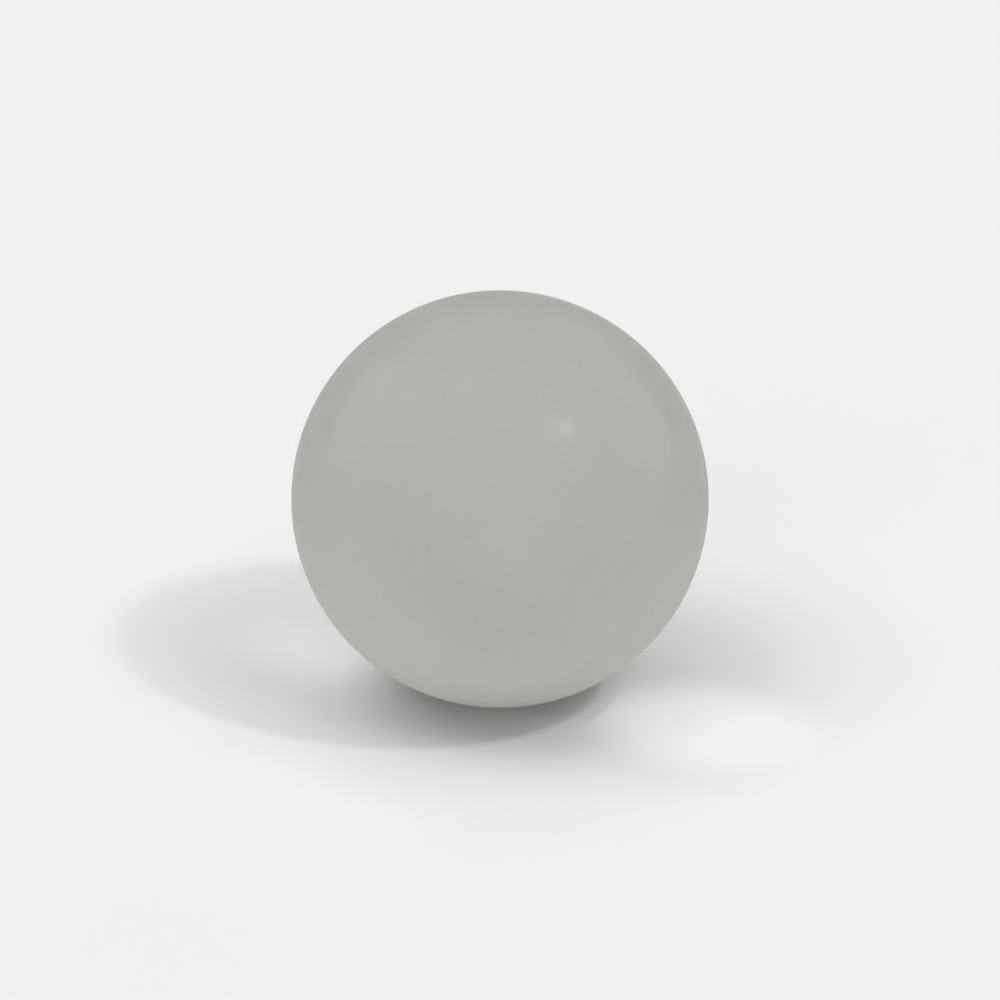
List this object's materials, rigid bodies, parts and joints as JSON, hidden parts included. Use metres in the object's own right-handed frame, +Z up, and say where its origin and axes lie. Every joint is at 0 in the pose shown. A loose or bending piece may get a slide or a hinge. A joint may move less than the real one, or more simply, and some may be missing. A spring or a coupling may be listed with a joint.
{
  "type": "cue ball",
  "caption": "Plain solid ball of cast phenolic resin, ground round and polished, struck by a cue to drive the other balls on a pool table.",
  "frame": {"origin": "the ball's centre, which is also its centre of mass", "axes": "+Z up, with the ball touching what it stands on at (0, 0, -0.028575); a ball has no front, so +X and +Y are any two level directions"},
  "size_m": [0.0572, 0.0572, 0.0572],
  "materials": {
    "resin": "satin"
  },
  "bodies": {
    "root": {"ball": "resin"}
  },
  "joints": []
}
